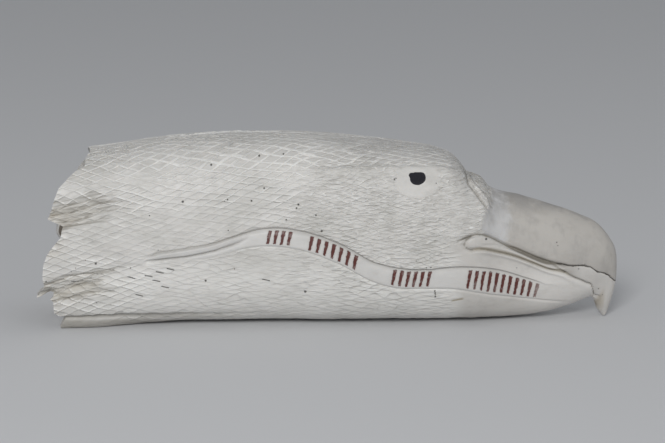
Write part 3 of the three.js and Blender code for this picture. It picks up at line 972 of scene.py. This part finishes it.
class Skin(Graph):
    """The tooth material's tree, with what the mesh's marks say and the shares that several steps use."""

    def __init__(self, tree):
        super().__init__(tree)
        self.x, self.share, self.on_ribbon = self.mark("place_on_ribbon")
        self.z, self.up, self.near = self.mark("heights")
        self.bare, self.hook_inside, self.lift = self.mark("body")
        self.mouth_gap, self.lip_gap, self.crack_gap = self.mark("line_gaps")
        self.eye_gap, self.tuft_gap, self.flange_gap = self.mark("single_cuts")
        self.crease_gap, self.roll_gap, self.almond = self.mark("creases")
        self.patches = self.noise(70, 5)
        self.fine = self.noise(900, 3, stretch=(0.5, 1, 1))
        self.wander = self.less(self.noise(420, 3), 0.5)
        self.grain = self.add(self.times(self.patches, 0.7), self.times(self.fine, 0.3))
        self.plumed = self.less(1, self.largest(self.bare, self.on_ribbon, self.almond))
        self.root = self.fade(self.x, -76, -46)
        self.near_root = self.fade(self.x, -60, -50)


def feather_nodes(g, name):
    """From the mark of one size of feather: the height of its raised edges and the grime and painted shade
    at the step under them.
    """
    first, second, weight = g.mark(name)
    heights = []
    dirt_and_shade_shares = []
    for number in (first, second):
        part = g.math("FRACT", number)
        fall = g.math("EXPONENT", g.math("DIVIDE", part, -BRIGHT_EDGE))
        heights.append(g.times(fall, g.smooth(part, 0, DARK_STEP)))
        # Grime and painted shade in the step where one feather drops to the next.
        dirt_and_shade_shares.append(g.largest(g.smooth(part, 0.8, 1), g.fade(part, 0, 0.05)))
    return g.times(g.largest(*heights), weight), g.times(g.largest(*dirt_and_shade_shares), weight)


def plumage_nodes(g):
    """Height of the three sizes of feather together, and the grime and painted shade of each, as (share,
    strength).
    """
    heights = []
    dirt_and_shade_shares = []
    for name, rise, strength in FEATHER_SIZES:
        height, dirt_and_shade = feather_nodes(g, name)
        heights.append(g.times(height, rise))
        dirt_and_shade_shares.append((dirt_and_shade, strength))
    return g.add(*heights), dirt_and_shade_shares


def cuts_like(g, kind):
    """Fine uneven cuts that run along the tooth, from one of the rows of numbers above."""
    slope, length, height, low, high = kind
    rise = g.less(g.up, g.times(g.x, slope))
    place = g.point(g.math("DIVIDE", g.x, length), g.math("DIVIDE", rise, height), 10 * slope + length)
    return g.smooth(g.noise_at(place, 1, 1.5), low, high)


def finest_cuts(g):
    """The share of each kind of fine cut where it belongs: on the face, the neck and the tuft."""
    face = g.times(g.smooth(g.x, -24, 2), g.smooth(g.up, 45, 50, 1, 0.5))
    face = g.times(face, g.smooth(g.z, 8, 16, 0.55, 1), g.plumed)
    neck = g.times(g.smooth(g.x, -24, 6, 1, 0.15), g.plumed)
    tuft = g.times(g.fade(g.tuft_gap, 3.2, 4), g.stretch(g.x, 38, 45.4, 0.6))
    tuft = g.times(tuft, g.smooth(g.add(g.x, g.z), 77.6, 78.4))
    return {
        "dark": g.times(cuts_like(g, DARK_DASHES), face),
        "pale": g.times(cuts_like(g, PALE_DASHES), face),
        "rising": g.times(cuts_like(g, RISING_CUTS), neck),
        "falling": g.times(cuts_like(g, FALLING_CUTS), neck),
        "tuft": g.times(cuts_like(g, TUFT_CUTS), tuft),
    }


def ivory_colour(g):
    """The bare tooth, its ribbon with painted shadow below the plumage's edge, and the top of the head
    darkened with painted shade.
    """
    # Painted shade: the top of the head is made darker, more so towards the front, as less light falls on it
    # than on the flank.
    crown = g.times(g.smooth(g.up, 44, 49), g.smooth(g.x, -30, 38, 0.12, 0.85))
    return g.paint(
        IVORY,
        (IVORY_SHADE, g.smooth(g.grain, 0.38, 0.68)),
        (RIBBON_IVORY, g.on_ribbon, 0.6),
        # Painted shadow: the top of the ribbon is darkened where the plumage's edge overhangs it.
        (DIRT_AND_SHADE, g.smooth(g.share, 0.72, 1, 0, 0.3), g.smooth(g.on_ribbon, 0.2, 0.9)),
        (CROWN_PAINTED_SHADE, crown, g.less(1, g.bare)),
    )


def beak_colour(g):
    """The cere, the horn of the beak with mottled painted shade along its top and dark streaks, and the
    paler jaw and hook.
    """
    horn_edge = g.add(g.x, g.times(g.wander, 5))
    flange = g.times(g.fade(g.mouth_gap, -0.4, 0.4), g.fade(g.x, 62, 66))
    chin = g.times(g.fade(g.lip_gap, -0.2, 0.2), g.fade(g.x, 73.2, 74.4))
    return g.paint(
        CERE,
        (HORN, g.smooth(horn_edge, 48, 50.8)),
        # Painted shade along the beak's top, which faces away from the light, broken up by mottling.
        (HORN_DARK, g.smooth(g.up, 29, 36), g.smooth(g.noise(110, 5, 0.65), 0.42, 0.62), 0.7),
        (HORN_DARK, g.smooth(g.noise(45, 5, 0.6), 0.35, 0.7), 0.3),
        (HORN_DARK, g.smooth(g.noise(330, 3, 0.6, (1, 1, 0.4)), 0.45, 0.75), 0.38),
        (JAW, g.largest(flange, chin)),
        (TIP_IVORY, chin, g.smooth(g.x, 50, 62)),
        (TIP_IVORY, g.fade(g.crack_gap, -0.3, 0.3), g.smooth(g.x, 66, 70), 0.6),
    )


def paint_feathers(g, base, height, dirt_and_shade_shares, cuts):
    """Painted highlights on the feathers' raised edges, the pale cuts and the lower flank, and grime and
    painted shade in the darker cuts.
    """
    # Painted highlight on the feathers' raised edges, half again as strong over the top of the head.
    edges = g.times(height, g.plumed, g.smooth(g.up, 42, 47, 1, 1.5))
    smudges = g.noise(260, 5, 0.7, (0.6, 1, 1))
    age = g.add(g.times(g.root, 0.35), g.smooth(g.patches, 0.4, 0.7, 0.1, 0.3))
    return g.paint(
        base,
        # Painted light: the plumage on the lower flank, away from the root, is painted lighter where less
        # light reaches it.
        (PAINTED_HIGHLIGHT_IVORY, g.fade(g.z, 14, 23), g.less(1, g.root), g.plumed, 0.5),
        # The fine cuts: painted highlight on the pale and rising ones, grime and painted shade in the dark,
        # falling and tuft ones.
        (DIRT_AND_SHADE, cuts["tuft"], 0.4),
        (DIRT_AND_SHADE, cuts["dark"], 0.2),
        (PAINTED_HIGHLIGHT_IVORY, cuts["pale"], 0.3),
        (PAINTED_HIGHLIGHT_IVORY, cuts["rising"], 0.16),
        (DIRT_AND_SHADE, cuts["falling"], 0.06),
        (PAINTED_HIGHLIGHT_IVORY, g.smooth(edges, 0.2, 0.6), 0.75),
        (DIRT_AND_SHADE, g.smooth(smudges, 0.46, 0.72), 0.14),
        # Grime and painted shade in each feather's step, stronger towards the root.
        *((DIRT_AND_SHADE, dirt_and_shade, age, strength) for dirt_and_shade, strength in dirt_and_shade_shares),
    )


def paint_root(g, base):
    """Stains in the root's folds with grime and painted shade in its creases, painted shade along the
    ribbon's roll and in the groove by the base, and a darker bottom towards the root.
    """
    stain = g.smooth(g.noise(130, 5, 0.65, (0.5, 1, 1.6)), 0.48, 0.7)
    crease = g.add(g.crease_gap, g.times(g.wander, 0.7))
    folds = g.times(cuts_like(g, FOLD_CUTS), g.near_root, g.near)
    return g.paint(
        base,
        (TAN, g.root, g.smooth(g.lift, -0.2, -1.4), 0.22),
        (TAN, g.fade(crease, 0, 1.8), g.near_root, stain, 0.4),
        # Grime and painted shade in the fine cuts by the folds and along the creases.
        (DIRT_AND_SHADE, folds, g.fade(crease, 0.4, 2.6, 0.5)),
        (DIRT_AND_SHADE, g.fade(crease, 0.05, 0.35), g.near_root, 0.5),
        # Painted shade along the cut under the ribbon's roll.
        (DIRT_AND_SHADE, g.fade(g.roll_gap, 0.05, 0.4), g.stretch(g.x, -49, -19, 5), 0.35),
        (GRIME_AND_SHADE, g.fade(g.x, -77, -66), stain, 0.55),
        # Painted shade in the groove above the strip by the base, and darker along the very bottom towards
        # the root.
        (DIRT_AND_SHADE, g.line(g.less(g.z, 2.9), 0.35, 0.4), g.fade(g.x, -50, -5), 0.5),
        (DIRT_AND_SHADE, g.fade(g.z, 1.6, 2.6), g.fade(g.x, -50, -30), 0.55),
    )


def paint_mouth(g, base):
    """The mouth's cut darkened with painted shade, the tan lip, painted shade in the cuts beside them, and
    grime with painted shade inside the hook.
    """
    thick = g.fade(g.size(g.less(g.x, 55.5)), 3, 8, 0.5)
    mouth = g.less(g.size(g.add(g.mouth_gap, 0.2)), thick)
    lip = g.line(g.less(g.lip_gap, 0.15), 0.25, 0.4)
    return g.paint(
        base,
        # Painted shade in the mouth's cut, widest towards its middle.
        (DIRT_AND_SHADE, g.fade(mouth, 0.05, 0.4), g.stretch(g.x, 34.5, 65, 2), 0.85),
        (TAN, lip, g.stretch(g.x, 38.5, 67, 2), 0.6),
        # Painted shade in the cut under the lip, round the ends of the mouth's fleshy edge and in the groove
        # before the tuft.
        (DIRT_AND_SHADE, g.line(g.lip_gap, 0.1, 0.3), g.stretch(g.x, 40, 75, 3), 0.6),
        (DIRT_AND_SHADE, g.line(g.flange_gap, 0.1, 0.3), 0.6),
        (DIRT_AND_SHADE, g.line(g.tuft_gap, 0.1, 0.35), 0.5),
        # Grime and painted shade on the underside of the hook's curve.
        (GRIME_AND_SHADE, g.hook_inside, g.smooth(g.z, 1.5, 4), g.smooth(g.patches, 0.3, 0.6, 0.45, 0.9)),
    )


def crack_share(g):
    """1 in the crack across the hook, on the inscribed side only."""
    line = g.line(g.add(g.crack_gap, g.times(g.wander, 1.1)), 0.09, 0.12)
    return g.times(line, g.smooth(g.x, 61.5, 64), g.near)


def pit_share(g):
    """1 in the natural pits and in the short nicks of the inscribed side."""
    place = g.point(g.x, g.z)
    gaps = []
    for pit_x, pit_z, smaller in PITS:
        away = g.node("ShaderNodeVectorMath", operation="DISTANCE")
        g.feed(away.inputs[0], place)
        g.feed(away.inputs[1], (pit_x, pit_z, 0))
        gaps.append(g.add(away.outputs["Value"], smaller))
    for nick_x, nick_z in NICKS:
        along = g.less(g.x, nick_x)
        within = g.smallest(g.largest(along, -NICK_HALF_LENGTH), NICK_HALF_LENGTH)
        over = g.less(g.less(g.z, nick_z), g.times(within, NICK_SLOPE))
        beyond = g.less(along, within)
        away = g.math("SQRT", g.add(g.times(over, over), g.times(beyond, beyond)))
        gaps.append(g.add(away, 0.1))
    return g.times(g.fade(g.smallest(*gaps), PIT_CORE, PIT_RADIUS), g.near)


def ink_shares(g):
    """1 inside the slanted strokes on the ribbon, worked out as in stroke_gap, and 1 on their stain."""
    ragged = g.less(g.noise(1400, 2), 0.5)
    lean = g.times(g.less(g.share, 0.5), STROKE_LEAN)
    leaning = g.add(g.less(g.x, lean), g.times(ragged, 0.5))
    gaps = []
    for start, end, count in STROKE_ROWS:
        pitch = (end - start) / count
        steps = g.math("DIVIDE", g.less(leaning, start), pitch)
        off_middle = g.size(g.less(g.math("FRACT", steps), 0.5))
        outside = g.largest(g.less(0, steps), g.less(steps, float(count)))
        gaps.append(g.largest(g.times(off_middle, pitch), g.times(outside, 9)))
    thinner = 0.75 * STROKE_HALF_WIDTH
    thicker = 1.1 * STROKE_HALF_WIDTH
    half_width = g.smooth(g.share, STROKE_LOW, STROKE_HIGH, thinner, thicker)
    beyond = g.less(g.smallest(*gaps), half_width)
    uneven = g.add(g.share, g.times(ragged, 0.12))
    band = g.times(g.smooth(uneven, STROKE_LOW - 0.03, STROKE_LOW + 0.02), g.on_ribbon)
    band = g.times(band, g.fade(uneven, STROKE_HIGH - 0.02, STROKE_HIGH + 0.03))
    return g.times(g.fade(beyond, -0.06, 0.07), band), g.times(g.fade(beyond, -0.1, 0.5), band)


def paint_small_marks(g, base, cuts):
    """The crack, the pits, a brown streak on the throat, the strokes, the eye, and the cavity's stain with
    painted shade deepening inwards.
    """
    streak = g.line(g.less(g.z, g.smooth(g.x, 33, 38, 7.5, 8.2)), 0.12, 0.35)
    cavity_depth = g.node("ShaderNodeAttribute", attribute_name="cavity_depth").outputs["Fac"]
    return g.paint(
        base,
        (CRACK, cuts["crack"], 0.9),
        (PIT, cuts["pits"], 0.85),
        (GRIME_AND_SHADE, streak, g.stretch(g.x, 33.6, 37.6, 0.9), g.near, 0.8),
        (INK_STAIN, cuts["ink_stain"], 0.5),
        (INK, cuts["ink"], g.smooth(g.noise(700, 2), 0.3, 0.5, 0.75, 1)),
        (EYE_BLACK, g.fade(g.eye_gap, -0.04, 0.06), 0.98),
        # Brown stain and painted shade in the pulp cavity, darkest at its inner end.
        (CAVITY, cavity_depth, 0.9),
    )


def tooth_colour(g, height, dirt_and_shade_shares, cuts):
    off_ribbon = g.less(1, g.times(g.on_ribbon, 0.6))
    base = g.paint(ivory_colour(g), (beak_colour(g), g.bare, off_ribbon))
    base = paint_feathers(g, base, height, dirt_and_shade_shares, cuts)
    base = paint_root(g, base)
    base = paint_mouth(g, base)
    return paint_small_marks(g, base, cuts)


def surface_height(g, height, cuts):
    """The height of the finest relief, for the bump."""
    dark = g.add(cuts["dark"], g.times(cuts["falling"], 0.5), g.times(cuts["tuft"], 2))
    rough = g.times(g.less(dark, cuts["pale"]), 0.4)
    cut_away = g.add(cuts["ink"], rough, g.times(cuts["crack"], 1.5), cuts["pits"])
    return g.less(g.add(height, g.times(g.fine, 0.35)), cut_away)


def ivory_material():
    material = bpy.data.materials.new("carved_tooth_ivory")
    material.use_nodes = True
    g = Skin(material.node_tree)
    height, dirt_and_shade_shares = plumage_nodes(g)
    cuts = {**finest_cuts(g), "crack": crack_share(g), "pits": pit_share(g)}
    cuts["ink"], cuts["ink_stain"] = ink_shares(g)
    bump = g.node("ShaderNodeBump")
    g.feed_all(bump, {"Height": surface_height(g, height, cuts), "Strength": 0.9, "Distance": 0.00025})
    g.feed_all(material.node_tree.nodes["Principled BSDF"], {
        "Base Color": tooth_colour(g, height, dirt_and_shade_shares, cuts),
        "Roughness": g.smooth(g.grain, 0.2, 0.8, 0.42, 0.58),
        "Specular IOR Level": g.smooth(g.eye_gap, -0.1, 0.1, 0.12, 0.5),
        "Subsurface Weight": 0.08,
        "Subsurface Radius": (1, 0.8, 0.6),
        "Subsurface Scale": 0.0008,
        "IOR": 1.5,
        "Normal": bump.outputs[0],
    })
    return material


# ---- floor, light and camera ----
FLOOR_HALF = 3
FLOOR_SHADE = colour(0.62, 0.625, 0.635)
FLOOR_ROUGHNESS = 0.8
WORLD_SHADE = colour(0.95, 0.97, 1)
WORLD_STRENGTH = 0.38

# Name, place, size and power.
LIGHTS = [("key", (-0.20, -0.94, 0.56), 0.30, 5.7), ("fill", (1, -0.9, 0.30), 0.8, 2.2)]
LIGHT_TARGET = (0, 0, 0.025)

VIEW_ELEVATION = math.radians(12)
VIEW_DISTANCE = 0.506
VIEW_TARGET = (2.05, 0, 26.6)
LENS = 100
SENSOR_WIDTH = 36


def add_floor():
    material = bpy.data.materials.new("pale_floor")
    material.use_nodes = True
    shader = material.node_tree.nodes["Principled BSDF"]
    shader.inputs["Base Color"].default_value = FLOOR_SHADE
    shader.inputs["Roughness"].default_value = FLOOR_ROUGHNESS
    mesh = bpy.data.meshes.new("floor")
    corners = [(x * FLOOR_HALF, y * FLOOR_HALF, 0) for x, y in ((-1, -1), (1, -1), (1, 1), (-1, 1))]
    mesh.from_pydata(corners, [], [(0, 1, 2, 3)])
    mesh.materials.append(material)
    floor = bpy.data.objects.new("floor", mesh)
    bpy.context.scene.collection.objects.link(floor)


def place_and_aim(thing, place, target):
    bpy.context.scene.collection.objects.link(thing)
    thing.location = place
    thing.rotation_euler = (Vector(place) - Vector(target)).to_track_quat("Z", "Y").to_euler()


def add_light(name, place, size, power):
    lamp = bpy.data.lights.new(name, "AREA")
    lamp.size = size
    lamp.energy = power
    place_and_aim(bpy.data.objects.new(name, lamp), place, LIGHT_TARGET)


def add_world():
    world = bpy.data.worlds.new("studio")
    world.use_nodes = True
    background = world.node_tree.nodes["Background"]
    background.inputs["Color"].default_value = WORLD_SHADE
    background.inputs["Strength"].default_value = WORLD_STRENGTH
    bpy.context.scene.world = world


def add_camera(shift):
    target = (np.array(VIEW_TARGET) + shift) * MM
    offset = np.array([0, -math.cos(VIEW_ELEVATION), math.sin(VIEW_ELEVATION)]) * VIEW_DISTANCE
    lens = bpy.data.cameras.new("view")
    lens.lens = LENS
    lens.sensor_width = SENSOR_WIDTH
    camera = bpy.data.objects.new("view", lens)
    place_and_aim(camera, target + offset, target)
    bpy.context.scene.camera = camera


def main():
    tooth, shift = build_tooth()
    tooth.data.materials.append(ivory_material())
    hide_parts(CAD_NODE)
    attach(tooth, "root")
    add_floor()
    for light in LIGHTS:
        add_light(*light)
    add_world()
    add_camera(shift)
    bpy.context.scene.view_settings.view_transform = "Standard"


main()
